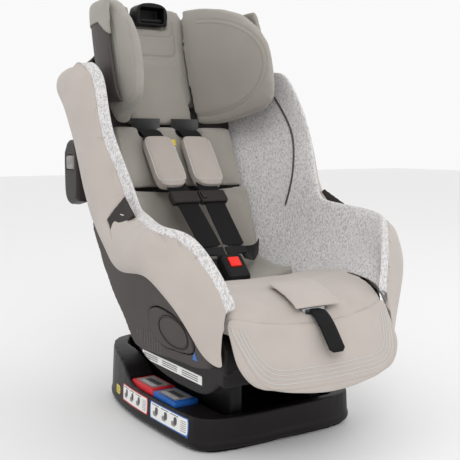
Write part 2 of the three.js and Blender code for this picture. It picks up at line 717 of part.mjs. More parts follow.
// Buckle, tilted back on the crotch strap.
const BUCKLE = { y: -70, z: 220, tilt: THREE.MathUtils.degToRad(45) };
const onBuckle = (geometry) => placed(geometry, BUCKLE);
const buckleWell = box(-10.5, 10.5, -14, -2.4, -2, 16);
const tongueSlot = box(-18.5, 18.5, -2, 2, 12, 30);
const buckleBody = cut(block(-22, 22, -9, 9, -23, 24, 4), [buckleWell, tongueSlot]);
add('buckle_body', onBuckle(buckleBody), BLACK);
add('buckle_button', onBuckle(block(-10, 10, -11, -6, -1.5, 15.5, 1)), BUTTON_RED);
const tongue = onBuckle(join([box(2, 18, -1.5, 1.5, 13, 30), box(2, 36, -1.5, 1.5, 28, 42)]));
addPair('tongue', tongue, BLACK);

const CROTCH_PATH = [[0, -74, 124], [0, -74, 178], [0, -76, 192], [0, -84, 202]];
const crotchStrap = strap(CROTCH_PATH, STRAP_WIDTH, STRAP_THICK);
add('crotch_strap', cut(crotchStrap, [grown(onBuckle(buckleBody))]), WEBBING);
const crotchPadRaw = strap([[0, -66, 199], [0, -52, 214], [0, -38, 232]], 62, 7);
add('crotch_pad', cut(crotchPadRaw, [grown(onBuckle(buckleBody)), grown(insertRaw)]), BLACK);

// ---- harness adjuster ----

const adjusterBody = block(-19, 19, -262, -216, 177, 198, 3);
const leverWell = box(-13, 13, -258, -226, 184, 210);
add('adjuster_housing', cut(adjusterBody, [leverWell]), STEEL);
const lever = block(-12.5, 12.5, -257, -227, 191, 200.5, 1.5);
add('adjuster_lever', lever, GREY);
const ADJUSTER_PATH = [
  [0, -262.6, 193], [0, -276, 187], [0, -289, 175], [0, -300, 161], [0, -311, 147],
];
const adjusterStrap = strap(ADJUSTER_PATH, 25, 2.4);
add('adjuster_strap', adjusterStrap, WEBBING);
const flapRows = [[-208, 219], [-225, 216.5], [-245, 210.5], [-262, 202.5], [-271, 196]];
const flap = slab(
  flapRows.map(([y, z]) => [-37, -18, 18, 37].map((x) => [x, y, z + 4 - 0.0012 * x * x])),
  flapRows.map(([y, z]) => [-37, -18, 18, 37].map((x) => [x, y, z])),
);
add('adjuster_flap', flap, TAUPE);

// ---- recline handle under the front edge ----

const handleOutline = [[-286, 98], [-264, 92], [-205, 96], [-205, 104], [-258, 108], [-282, 110]];
const reclineHandle = cut(
  plate(handleOutline, -46, 46),
  [box(-34, 34, -276, -214, 80, 120)],
);
add('recline_handle', reclineHandle, PLASTIC);

// ---- side pods ----

const podOutline = [[64, 318], [98, 312], [110, 330], [110, 396], [98, 412], [70, 410], [60, 392], [58, 334]];
const podRings = [168, 173, 187, 192].map((x, i) => podOutline.map(([y, z]) => {
  const shrink = [0.94, 1, 0.97, 0.86][i];
  return [x, 84 + (y - 84) * shrink, 363 + (z - 363) * shrink];
}));
const podWell = box(182, 210, 70, 98, 366, 388);
const pod = cut(loft(podRings), [podWell]);
const podButton = block(186.4, 193.5, 70.6, 97.4, 366.6, 387.4, 2);

// ---- upholstery cut to fit its neighbours ----

const padCuts = [shellClear];
const podClear = grown(pod, 1.2);
add('seat_shell', cut(shellBack, [...slots]), PLASTIC);
pan = cut(pan, [
  sideClear, mirrored(sideClear), grown(insertRaw, 0.4),
  grown(crotchStrap, 1), grown(cushionRaw, 0.4), box(-40, 40, -300, -200, 80, 121),
]);
add('seat_pan', pan, BASE);

const insert = cut(insertRaw, [grown(crotchPadRaw), grown(crotchStrap), ...padCuts]);
add('insert_pad', insert, INNER);
const backPad = cut(backPadRaw, [...padCuts, ...slots, grown(insertRaw), grown(centreRaw, 0.5), grown(wingRaw, 0.5),
  grown(mirrored(wingRaw), 0.5)]);
add('back_pad', backPad, INNER);
const cushion = cut(cushionRaw, [
  grown(crotchStrap), grown(adjusterBody, 0.6), grown(adjusterStrap, 0.6), grown(lever, 1),
  grown(flap), grown(onBuckle(buckleBody)), grown(insertRaw, 0.4), grown(apron, 0.4),
]);
add('seat_cushion', cushion, TAUPE);
add('front_apron', cut(apron, [grown(adjusterStrap, 0.6)]), TAUPE);
addPair('shoulder_pad', sleeve, TAUPE);
const hip = cut(hipStrap, [grown(insertRaw), grown(onBuckle(buckleBody)), grown(crotchPadRaw), grown(tongue)]);
addPair('hip_strap', hip, WEBBING);

const softCuts = [
  grown(insertRaw, 0.5), grown(backPadRaw, 0.5), grown(cushionRaw, 0.5), grown(apron, 0.6), grown(pan, 0.5),
];
const lining = cut(liningRaw, [...softCuts, ...padCuts, hookClear, sideClear]);
addPair('side_lining', lining, HEATHER);
const cover = cut(coverRaw, [
  grown(liningRaw, 0.4), hookClear, sideClear, ...padCuts, grown(apron, 0.6), podClear,
]);
addPair('side_cover', cover, TAUPE);
const core = cut(coreRaw, [
  grown(liningRaw, 0.4), grown(coverRaw, 0.4), ...softCuts, ...padCuts, hookClear, sideClear, podClear,
]);
addPair('side_foam', core, FOAM);
addPair('belt_hook', hook, PLASTIC);
addPair('side_pod', cut(pod, [grown(shellBack, 0.6)]), PLASTIC);
addPair('pod_button', podButton, GREY);
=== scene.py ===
"""Looks of a convertible child seat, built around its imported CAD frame. Metres, front -Y, up +Z."""
import json
import math

import bmesh
import bpy
import numpy as np
from mathutils import Matrix, Vector, noise
from mathutils.bvhtree import BVHTree


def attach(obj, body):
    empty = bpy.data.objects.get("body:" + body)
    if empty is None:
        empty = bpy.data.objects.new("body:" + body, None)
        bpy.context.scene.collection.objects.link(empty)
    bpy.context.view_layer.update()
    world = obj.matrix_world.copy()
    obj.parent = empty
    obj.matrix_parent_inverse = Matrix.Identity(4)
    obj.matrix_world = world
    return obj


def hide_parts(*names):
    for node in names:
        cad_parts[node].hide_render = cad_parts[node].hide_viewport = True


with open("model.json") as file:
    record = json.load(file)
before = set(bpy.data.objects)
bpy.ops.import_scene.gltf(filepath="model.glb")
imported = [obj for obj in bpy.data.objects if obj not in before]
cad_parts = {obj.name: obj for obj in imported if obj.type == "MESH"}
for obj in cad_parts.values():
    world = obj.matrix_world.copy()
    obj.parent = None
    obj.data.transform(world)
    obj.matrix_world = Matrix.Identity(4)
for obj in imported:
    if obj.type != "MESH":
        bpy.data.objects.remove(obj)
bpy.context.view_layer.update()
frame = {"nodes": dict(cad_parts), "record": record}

MM = 0.001
SCENE = bpy.context.scene
SIDES = (("left", -1), ("right", 1))     # suffix and sign of X
FORWARD = (0, 1, 0)                      # rays that run from the front of the seat to its back


def V3(*p):
    return np.array(p, float)


# ---------------------------------------------------------------- camera and lights

CAMERA_AT = V3(-654.9, -1088.0, 405.0) * MM
CAMERA_AZ = math.radians(32.47)
CAMERA_EL = math.radians(5.98)
CAMERA_LENS = 64.62


def place_camera():
    flat = math.cos(CAMERA_EL)
    back = V3(-math.sin(CAMERA_AZ) * flat, -math.cos(CAMERA_AZ) * flat, math.sin(CAMERA_EL))
    right = V3(math.cos(CAMERA_AZ), -math.sin(CAMERA_AZ), 0)
    up = np.cross(back, right)
    data = bpy.data.cameras.new("camera")
    data.lens = CAMERA_LENS
    data.sensor_width = 36
    data.clip_end = 50
    cam = bpy.data.objects.new("camera", data)
    rot = Matrix((right, up, back)).transposed().to_4x4()
    cam.matrix_world = Matrix.Translation(Vector(CAMERA_AT)) @ rot
    SCENE.collection.objects.link(cam)
    SCENE.camera = cam


def area_light(name, at, target, size, power):
    data = bpy.data.lights.new(name, "AREA")
    data.shape = "DISK"
    data.size = size
    data.energy = power
    lamp = bpy.data.objects.new(name, data)
    lamp.location = at
    lamp.rotation_euler = (Vector(target) - Vector(at)).to_track_quat("-Z", "Y").to_euler()
    SCENE.collection.objects.link(lamp)


# ---------------------------------------------------------------- node-tree helpers

class Tree:
    """A material's node tree with short calls."""

    def __init__(self, name):
        self.mat = bpy.data.materials.new(name)
        self.mat.use_nodes = True
        self.nt = self.mat.node_tree
        self.bsdf = self.nt.nodes["Principled BSDF"]

    def node(self, kind, **values):
        n = self.nt.nodes.new(kind)
        for key, value in values.items():
            if key in n.inputs.keys():
                if isinstance(value, bpy.types.NodeSocket):
                    self.nt.links.new(value, n.inputs[key])
                else:
                    n.inputs[key].default_value = value
            else:
                setattr(n, key, value)
        return n

    def link(self, a, b):
        self.nt.links.new(a, b)

    def coords(self, scale=(1, 1, 1), uv=False):
        tc = self.node("ShaderNodeTexCoord")
        m = self.node("ShaderNodeMapping")
        self.link(tc.outputs["UV" if uv else "Object"], m.inputs["Vector"])
        m.inputs["Scale"].default_value = scale
        return m.outputs["Vector"]

    def noise(self, vec, scale, detail=3.0, rough=0.5):
        n = self.node("ShaderNodeTexNoise", Scale=scale, Detail=detail, Roughness=rough)
        self.link(vec, n.inputs["Vector"])
        return n.outputs["Fac"]

    def ramp(self, fac, stops):
        n = self.node("ShaderNodeValToRGB")
        self.link(fac, n.inputs["Fac"])
        e = n.color_ramp.elements
        while len(e) < len(stops):
            e.new(0.5)
        for el, (pos, col) in zip(e, stops):
            el.position = pos
            el.color = (*col, 1) if len(col) == 3 else col
        return n.outputs["Color"]

    def math(self, op, a, b=None):
        n = self.node("ShaderNodeMath", operation=op)
        for i, x in enumerate((a, b)):
            if x is None:
                continue
            if isinstance(x, (int, float)):
                n.inputs[i].default_value = x
            else:
                self.link(x, n.inputs[i])
        return n.outputs[0]

    def mix(self, fac, a, b):
        n = self.node("ShaderNodeMix", data_type="RGBA", blend_type="MIX")
        for sock, x in zip((n.inputs["Factor"], n.inputs[6], n.inputs[7]), (fac, a, b)):
            if isinstance(x, bpy.types.NodeSocket):
                self.link(x, sock)
            elif isinstance(x, (int, float)):
                sock.default_value = x
            else:
                sock.default_value = (*x, 1)
        return n.outputs[2]

    def bump(self, height, strength, distance):
        n = self.node("ShaderNodeBump", Strength=strength, Distance=distance)
        self.link(height, n.inputs["Height"])
        return n.outputs["Normal"]

    def done(self, colour, rough, normal=None, **sockets):
        if isinstance(colour, bpy.types.NodeSocket):
            self.link(colour, self.bsdf.inputs["Base Color"])
        else:
            self.bsdf.inputs["Base Color"].default_value = (*colour, 1)
        if isinstance(rough, bpy.types.NodeSocket):
            self.link(rough, self.bsdf.inputs["Roughness"])
        else:
            self.bsdf.inputs["Roughness"].default_value = rough
        if normal is not None:
            self.link(normal, self.bsdf.inputs["Normal"])
        for key, value in sockets.items():
            self.bsdf.inputs[key.replace("_", " ")].default_value = value
        return self.mat


def lin(r, g, b):
    """An sRGB colour in 0..255 as linear values."""
    def f(c):
        c /= 255
        return c / 12.92 if c <= 0.04045 else ((c + 0.055) / 1.055) ** 2.4
    return (f(r), f(g), f(b))


def cloth(name, rgb, shade=0.82, knit=1500.0, bump=0.35):
    """Fine matt knit with soft tone changes."""
    t = Tree(name)
    vec = t.coords()
    colour = lin(*rgb)
    dark = tuple(c * shade for c in colour)
    broad = t.noise(vec, 22.0, 2.0)
    fine = t.noise(vec, knit, 2.0, 0.6)
    base = t.mix(t.ramp(broad, [(0.3, (0, 0, 0)), (0.7, (1, 1, 1))]), dark, colour)
    lighter = tuple(min(1, c * 1.12) for c in colour)
    tone = t.mix(t.math("MULTIPLY", fine, 0.5), base, lighter)
    even = t.mix(0.55, tone, colour)
    rows = t.node("ShaderNodeTexWave", wave_type="BANDS", bands_direction="DIAGONAL", Scale=knit * 0.35,
                  Distortion=1.5)
    t.link(vec, rows.inputs["Vector"])
    height = t.math("ADD", t.math("MULTIPLY", rows.outputs["Fac"], 0.5), fine)
    normal = t.bump(height, bump, 0.0006)
    return t.done(even, 0.92, normal, Sheen_Weight=0.25, Sheen_Roughness=0.6, Specular_IOR_Level=0.2)


def heather(name):
    """Melange knit: pale grey yarn with darker flecks."""
    t = Tree(name)
    vec = t.coords()
    streak = t.coords((1.0, 1.0, 0.55))
    fleck = t.noise(streak, 420.0, 3.0, 0.7)
    small_fleck = t.noise(vec, 900.0, 2.0, 0.6)
    pale = lin(226, 224, 222)
    mid = lin(196, 194, 194)
    dark = lin(138, 136, 139)
    yarn = t.ramp(fleck, [(0.36, dark), (0.46, mid), (0.56, pale), (1.0, pale)])
    fibre_stops = [(0.35, lin(150, 148, 150)), (0.5, lin(206, 204, 203)), (0.7, lin(235, 233, 231))]
    colour = t.mix(0.4, yarn, t.ramp(small_fleck, fibre_stops))
    normal = t.bump(t.math("ADD", fleck, small_fleck), 0.5, 0.0008)
    return t.done(colour, 0.95, normal, Sheen_Weight=0.2, Sheen_Roughness=0.6, Specular_IOR_Level=0.15)


def plastic(name, rgb, rough=0.45, grain=0.25, pale_edges=0.35, gloss=0.2):
    """Moulded plastic with a fine leathery grain and paler convex edges."""
    t = Tree(name)
    vec = t.coords()
    colour = lin(*rgb)
    g = t.noise(vec, 1600.0, 2.0, 0.6)
    broad = t.noise(vec, 14.0, 3.0)
    geo = t.node("ShaderNodeNewGeometry")
    # convex edges, found by pointiness, are painted paler
    edge = t.ramp(geo.outputs["Pointiness"], [(0.52, (0, 0, 0)), (0.58, (1, 1, 1))])
    light = tuple(min(1, c * 1.7 + 0.01) for c in colour)
    with_pale_edges = t.mix(t.math("MULTIPLY", edge, pale_edges), colour, light)
    tone = t.mix(t.math("MULTIPLY", broad, 0.3), with_pale_edges, tuple(c * 0.85 for c in colour))
    roughness = t.math("ADD", t.math("MULTIPLY", broad, 0.12), rough - 0.06)
    normal = t.bump(g, grain, 0.0003)
    return t.done(tone, roughness, normal, Specular_IOR_Level=gloss)


def webbing(name, rgb):
    """Belt webbing: ribs along the strap and tight cross yarns, from the strap's own UV in metres."""
    t = Tree(name)
    uv = t.coords((1, 1, 1), uv=True)
    sep = t.node("ShaderNodeSeparateXYZ")
    t.link(uv, sep.inputs["Vector"])
    across = t.math("SINE", t.math("MULTIPLY", sep.outputs["X"], 2 * math.pi / 0.0042))
    along = t.math("SINE", t.math("MULTIPLY", sep.outputs["Y"], 2 * math.pi / 0.0011))
    height = t.math("ADD", t.math("MULTIPLY", across, 0.35), t.math("MULTIPLY", along, 0.35))
    fuzz = t.noise(t.coords(), 1800.0, 2.0)
    height = t.math("ADD", height, t.math("MULTIPLY", fuzz, 0.6))
    colour = t.mix(t.math("MULTIPLY", fuzz, 0.8), lin(*rgb), tuple(c * 2.4 for c in lin(*rgb)))
    normal = t.bump(height, 0.6, 0.0005)
    return t.done(colour, 0.7, normal, Sheen_Weight=0.05, Specular_IOR_Level=0.15)


def thread(name, rgb, rough=0.6):
    """Twisted sewing thread or corded piping."""
    t = Tree(name)
    n = t.noise(t.coords(), 2600.0, 1.0)
    colour = t.mix(n, tuple(c * 0.7 for c in lin(*rgb)), lin(*rgb))
    return t.done(colour, rough, t.bump(n, 0.5, 0.0003), Sheen_Weight=0.1)


def metal(name, rgb):
    """Zinc-plated steel, lightly brushed."""
    t = Tree(name)
    n = t.noise(t.coords((1, 1, 12)), 240.0, 3.0)
    rough = t.math("ADD", t.math("MULTIPLY", n, 0.2), 0.25)
    return t.done(lin(*rgb), rough, t.bump(n, 0.1, 0.0002), Metallic=1.0)


def printed(name, rgb):
    """Smooth label film."""
    t = Tree(name)
    n = t.noise(t.coords(), 500.0, 2.0)
    colour = t.mix(t.math("MULTIPLY", n, 0.2), lin(*rgb), tuple(c * 0.85 for c in lin(*rgb)))
    return t.done(colour, 0.4, t.bump(n, 0.05, 0.0002))


M = {
    "taupe": cloth("taupe_knit", (184, 175, 168)),
    "taupe_pad": cloth("taupe_pad_knit", (176, 167, 159)),
    "inner": cloth("inner_knit", (154, 149, 141)),
    "heather": heather("heather_knit"),
    "black_cloth": cloth("black_cloth", (38, 37, 38), bump=0.5),
    "shell": plastic("shell_plastic", (72, 66, 64), 0.5),
    "clip": plastic("clip_plastic", (48, 43, 42), 0.42),
    "base": plastic("base_plastic", (26, 22, 22), 0.42),
    "black": plastic("black_plastic", (16, 16, 17), 0.42),
    "grey": plastic("grey_plastic", (139, 135, 133), 0.45),
    "red": plastic("red_plastic", (206, 42, 52), 0.35, 0.12),
    "button_red": plastic("button_red_plastic", (250, 52, 42), 0.32, 0.1),
    "blue": plastic("blue_plastic", (30, 92, 172), 0.35, 0.12),
    "rubber": plastic("sole_rubber", (28, 27, 27), 0.8, 0.6, 0.0),
    "foam": cloth("foam_beads", (214, 214, 212), knit=400.0),
    "webbing": webbing("belt_webbing", (11, 11, 12)),
    "steel": metal("zinc_steel", (170, 172, 175)),
    "piping": thread("silver_piping", (205, 203, 200), 0.45),
    "dark_piping": thread("dark_piping", (70, 66, 66)),
    "stitch": thread("taupe_thread", (206, 200, 194)),
    "stitch_inner": thread("inner_thread", (120, 115, 108)),
    "white": printed("white_label", (236, 236, 234)),
    "ink": printed("label_ink", (70, 70, 72)),
    "yellow": printed("yellow_label", (232, 205, 40)),
    "red_ink": printed("red_label_edge", (214, 40, 48)),
    "blue_ink": printed("blue_label_edge", (30, 98, 180)),
}


# ---------------------------------------------------------------- mesh helpers

OWNER = {n: body for body, names in frame["record"]["behaviour"]["bodies"].items() for n in names}


def put(name, mesh, material, body):
    """A new piece of the object that rides on a body."""
    obj = bpy.data.objects.new(name, mesh)
    SCENE.collection.objects.link(obj)
    mesh.materials.clear()
    mesh.materials.append(M[material])
    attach(obj, body)
    return obj


def solid(name, points, faces, material, body):
    """A smooth-shaded piece from points in millimetres."""
    mesh = bpy.data.meshes.new(name)
    mesh.from_pydata([Vector(p) * MM for p in points], [], faces)
    obj = put(name, mesh, material, body)
    bm = bmesh.new()
    bm.from_mesh(mesh)
    bmesh.ops.recalc_face_normals(bm, faces=bm.faces)
    bm.to_mesh(mesh)
    bm.free()
    return smooth_shade(obj)


def coords(obj):
    co = np.empty(len(obj.data.vertices) * 3)
    obj.data.vertices.foreach_get("co", co)
    return co.reshape(-1, 3)


def set_coords(obj, co):
    obj.data.vertices.foreach_set("co", np.asarray(co, float).ravel())
    obj.data.update()


def normals(obj):
    n = np.empty(len(obj.data.vertices) * 3)
    obj.data.vertex_normals.foreach_get("vector", n)
    return n.reshape(-1, 3)


def bake(obj):
    """Replaces a piece's mesh by the one its modifiers make."""
    graph = bpy.context.evaluated_depsgraph_get()
    mesh = bpy.data.meshes.new_from_object(obj.evaluated_get(graph))
    old = obj.data
    obj.modifiers.clear()
    obj.data = mesh
    bpy.data.meshes.remove(old)
    return obj


def modify(obj, kind, **settings):
    """Applies one modifier."""
    mod = obj.modifiers.new(kind.lower(), kind)
    for key, value in settings.items():
        setattr(mod, key, value)
    return bake(obj)


def smooth_shade(obj, angle=None):
    obj.data.polygons.foreach_set("use_smooth", [True] * len(obj.data.polygons))
    if angle is not None:
        obj.data.set_sharp_from_angle(angle=math.radians(angle))
    return obj


def cage(node):
    """A mesh with a CAD node's shape, its split corners merged and its triangles paired into quads."""
    bm = bmesh.new()
    bm.from_mesh(frame["nodes"][node].data)
    bmesh.ops.remove_doubles(bm, verts=bm.verts, dist=2e-5)
    bmesh.ops.join_triangles(bm, faces=bm.faces, angle_face_threshold=math.radians(30),
                             angle_shape_threshold=math.radians(80))
    bmesh.ops.recalc_face_normals(bm, faces=bm.faces)
    mesh = bpy.data.meshes.new(node)
    bm.to_mesh(mesh)
    bm.free()
    return mesh


def rounded(obj, levels=2, crease_over=None):
    """Subdivides a piece into a smooth surface that still passes through its corners."""
    if crease_over is not None:
        bm = bmesh.new()
        bm.from_mesh(obj.data)
        layer = bm.edges.layers.float.new("crease_edge")
        for e in bm.edges:
            if len(e.link_faces) == 2 and e.calc_face_angle(0) > math.radians(crease_over):
                e[layer] = 1.0
        bm.to_mesh(obj.data)
        bm.free()
    goal = coords(obj)
    mod = obj.modifiers.new("round", "SUBSURF")
    mod.levels = mod.render_levels = levels
    for _ in range(3):
        graph = bpy.context.evaluated_depsgraph_get()
        evaluated = obj.evaluated_get(graph)
        mesh = evaluated.to_mesh()
        now = np.empty(len(mesh.vertices) * 3)
        mesh.vertices.foreach_get("co", now)
        evaluated.to_mesh_clear()
        set_coords(obj, coords(obj) + goal - now.reshape(-1, 3)[:len(goal)])
    return smooth_shade(bake(obj))


def look(node, material):
    """A new piece with a CAD node's shape, which takes that node's place."""
    obj = put(node + "_look", cage(node), material, OWNER[node])
    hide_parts(node)
    return obj


def moulded(node, material, voxel=1.2, rounds=5):
    """A hard part with facets smoothed out and softly rounded edges."""
    obj = rounded(look(node, material), 2, 30)
    modify(obj, "REMESH", mode="VOXEL", voxel_size=voxel * MM)
    modify(obj, "SMOOTH", factor=0.5, iterations=rounds)
    return smooth_shade(obj)


def machined(node, material, bevel=0.8):
    """A simple hard part with bevelled edges."""
    obj = rounded(look(node, material), 1, 30)
    modify(obj, "BEVEL", width=bevel * MM, segments=2, limit_method="ANGLE", angle_limit=math.radians(35),
           use_clamp_overlap=True)
    return smooth_shade(obj, 40)


# ---------------------------------------------------------------- seams, piping, stitches, labels

def flow(points, step=2.0, closed=False):
    """Dense points on a smooth curve through given points, all in millimetres."""
    p = np.array(points, float)
    n = len(p)
    out = []
    for i in range(n if closed else n - 1):
        if closed:
            a, b, c, d = (p[(i + k) % n] for k in (-1, 0, 1, 2))
        else:
            b, c = p[i], p[i + 1]
            a = p[i - 1] if i else 2 * b - c
            d = p[i + 2] if i + 2 < n else 2 * c - b
        count = max(2, int(np.linalg.norm(c - b) / step))
        for t in np.arange(count) / count:
            out.append(0.5 * (2 * b + (c - a) * t + (2 * a - 5 * b + 4 * c - d) * t ** 2
                              + (3 * b - a - 3 * c + d) * t ** 3))
    if not closed:
        out.append(p[-1])
    return np.array(out)


def tree_of(*objs):
    """A search tree over the meshes of some pieces."""
    verts, faces = [], []
    for o in objs:
        start = len(verts)
        verts += [v.co.copy() for v in o.data.vertices]
        faces += [[start + i for i in p.vertices] for p in o.data.polygons]
    return BVHTree.FromPolygons(verts, faces)


def span_mm(obj):
    """The lowest and highest corner of a piece's mesh, in millimetres."""
    co = coords(obj) / MM
    return co.min(0), co.max(0)


def cast(points, tree, way):
    """Where rays along way, through each point from far off, first meet a surface. Misses are left out."""
    far = 600
    hits = []
    for p in points:
        start = Vector(p) - Vector(way) * far
        at = tree.ray_cast(start * MM, Vector(way))[0]
        if at is not None:
            hits.append(tuple(V3(*at) / MM))
    return hits


def u_curve(half, top, depth, power):
    """A symmetric U in the XZ plane, from one top end down and across to the other."""
    points = []
    for a in np.linspace(0, math.pi, 25):
        c = math.cos(a)
        x = half * math.copysign(abs(c) ** power, c)
        points.append((x, 0, top - depth * math.sin(a) ** power))
    return points


def c_curve(front, back, low, high, lean, x=0.0):
    """Half an ellipse in the YZ plane that bulges to the front; lean moves its top end back."""
    middle = (low + high) / 2
    points = []
    for a in np.linspace(-math.pi / 2, math.pi / 2, 21):
        z = middle + (high - low) / 2 * math.sin(a)
        points.append((x, back - (back - front) * math.cos(a) + lean * (z - middle), z))
    return points


def laid(points, tree, lift=0.0):
    """Points (mm) moved onto a surface, and the surface's normals there."""
    where, up = [], []
    for p in points:
        at, normal, _, _ = tree.find_nearest(Vector(p) * MM)
        where.append(V3(*at) / MM + V3(*normal) * lift)
        up.append(V3(*normal))
    where = np.array(where)
    up = np.array(up)
    for _ in range(2):
        up[1:-1] = (up[:-2] + up[1:-1] * 2 + up[2:]) / 4
        where[1:-1] = (where[:-2] + where[1:-1] * 2 + where[2:]) / 4
    return where, up / np.linalg.norm(up, axis=1)[:, None]


def sweep(name, path, ups, width, thick, material, body, closed=False, sides=10, power=2.0, ends=1.0):
    """A closed rope, piping or strap of super-elliptic section along a path, with its UV in metres."""
    n = len(path)
    if closed:
        tangent = np.roll(path, -1, 0) - np.roll(path, 1, 0)
    else:
        tangent = np.gradient(path, axis=0)
    tangent /= np.linalg.norm(tangent, axis=1)[:, None]
    ups = np.broadcast_to(ups, path.shape)
    side = np.cross(tangent, ups)
    side /= np.linalg.norm(side, axis=1)[:, None]
    up = np.cross(side, tangent)
    run = np.concatenate([[0], np.cumsum(np.linalg.norm(np.diff(path, axis=0), axis=1))])
    points, around = [], []
    for k in range(sides):
        a = 2 * math.pi * k / sides
        c, s = math.cos(a), math.sin(a)
        around.append((np.sign(c) * abs(c) ** (2 / power), np.sign(s) * abs(s) ** (2 / power)))
    for i in range(n):
        size = 1.0
        if not closed:
            size = min(1.0, ends + (1 - ends) * min(run[i], run[-1] - run[i]) / max(thick, 1e-6))
        for c, s in around:
            points.append(path[i] + side[i] * c * width / 2 * size + up[i] * s * thick / 2 * size)
    faces = []
    for i in range(n if closed else n - 1):
        for k in range(sides):
            a, b = i * sides + k, i * sides + (k + 1) % sides
            j = ((i + 1) % n) * sides
            faces.append((a, b, j + (k + 1) % sides, j + k))
    if not closed:
        faces.append(tuple(range(sides))[::-1])
        faces.append(tuple((n - 1) * sides + k for k in range(sides)))
    obj = solid(name, points, faces, material, body)
    uv = obj.data.uv_layers.new(name="strap")
    for loop in obj.data.loops:
        i, k = divmod(loop.vertex_index, sides)
        uv.data[loop.index].uv = (around[k][0] * width / 2 * MM, run[i] * MM)
    return obj


def tube(name, points, tree, radius, material, body, lift=0.0, closed=False):
    """Piping or a raised line laid on a surface."""
    path, up = laid(flow(points, 2.0, closed), tree, lift)
    return sweep(name, path, up, radius * 2, radius * 2, material, body, closed, 8, ends=0.3)


def groove(obj, points, width=4.0, depth=1.4, closed=False, shoulder=0.25):
    """Presses a seam into a surface and lifts its shoulders a little."""
    path = flow(points, 1.5, closed)
    co = coords(obj) / MM
    nearby = np.full(len(co), 1e9)
    for chunk in range(0, len(path), 64):
        d = np.linalg.norm(co[:, None, :] - path[None, chunk:chunk + 64, :], axis=2).min(1)
        nearby = np.minimum(nearby, d)
    r = nearby / width
    push = -depth * np.exp(-(r * 1.9) ** 2) + depth * shoulder * np.exp(-((r - 1.3) * 2.2) ** 2)
    push[r > 2.6] = 0
    set_coords(obj, (co + normals(obj) * push[:, None]) * MM)


def stitches(name, points, tree, material, body, dash=3.4, gap=1.3, radius=0.32, lift=0.15):
    """A row of separate thread stitches along a path on a surface."""
    path, up = laid(flow(points, 1.0), tree, lift)
    run = np.concatenate([[0], np.cumsum(np.linalg.norm(np.diff(path, axis=0), axis=1))])
    points, faces = [], []
    for start in np.arange(0.5, run[-1] - dash, dash + gap):
        at = []
        for t in (0, 0.3, 0.7, 1):
            at.append(np.array([np.interp(start + dash * t, run, path[:, k]) for k in range(3)]))
        normal = np.array([np.interp(start + dash / 2, run, up[:, k]) for k in range(3)])
        along = at[3] - at[0]
        along /= np.linalg.norm(along)
        side = np.cross(along, normal)
        base = len(points)
        for p, sink, size in zip(at, (-0.25, 0.1, 0.1, -0.25), (0.5, 1, 1, 0.5)):
            for k in range(5):
                a = 2 * math.pi * k / 5
                points.append(p + normal * sink + (side * math.cos(a) + normal * math.sin(a)) * radius * size)
        for i in range(3):
            for k in range(5):
                a, b = base + i * 5 + k, base + i * 5 + (k + 1) % 5
                faces.append((a, b, b + 5, a + 5))
        faces.append(tuple(base + k for k in range(5))[::-1])
        faces.append(tuple(base + 15 + k for k in range(5)))
    return solid(name, points, faces, material, body)


def decal(name, tree, corners, material, body, span=(0, 0, 1, 1), lift=0.25, cells=(10, 4), round_to=0.0):
    """A thin label laid on a surface: part of the patch between four corners (mm), u along and v up."""
    a, b, c, d = (np.array(q, float) for q in corners)
    u0, v0, u1, v1 = span
    nu, nv = cells
    top, under = [], []
    for j in range(nv + 1):
        for i in range(nu + 1):
            u = u0 + (u1 - u0) * i / nu
            v = v0 + (v1 - v0) * j / nv
            if round_to:
                su, sv = 2 * i / nu - 1, 2 * j / nv - 1
                u = u0 + (u1 - u0) * (0.5 + 0.5 * su * (1 - round_to * sv ** 4))
            p = (a * (1 - u) + b * u) * (1 - v) + (d * (1 - u) + c * u) * v
            at, normal, _, _ = tree.find_nearest(Vector(p) * MM)
            top.append(V3(*at) / MM + V3(*normal) * lift)
            under.append(V3(*at) / MM - V3(*normal) * 0.3)
    cols = nu + 1
    half = len(top)
    faces = []
    for j in range(nv):
        for i in range(nu):
            q = j * cols + i
            faces.append((q, q + 1, q + cols + 1, q + cols))
            faces.append((half + q, half + q + cols, half + q + cols + 1, half + q + 1))
    rim = list(range(cols)) + [cols * (j + 1) + nu for j in range(nv)]
    rim += [nv * cols + i for i in range(nu - 1, -1, -1)] + [cols * j for j in range(nv - 1, 0, -1)]
    for k, q in enumerate(rim):
        r = rim[(k + 1) % len(rim)]
        faces.append((q, half + q, half + r, r))
    obj = solid(name, top + under, faces, material, body)
    return smooth_shade(obj, 40)


# ---------------------------------------------------------------- padded pieces

def near_paths(obj, paths, reach):
    """Which vertices lie within reach (mm) of any of the paths."""
    co = coords(obj) / MM
    hit = np.zeros(len(co), bool)
    for points in paths:
        for p in flow(points, 2.5):
            hit |= ((co - p) ** 2).sum(1) < reach ** 2
    return hit


CLOTH_FRAMES = 20


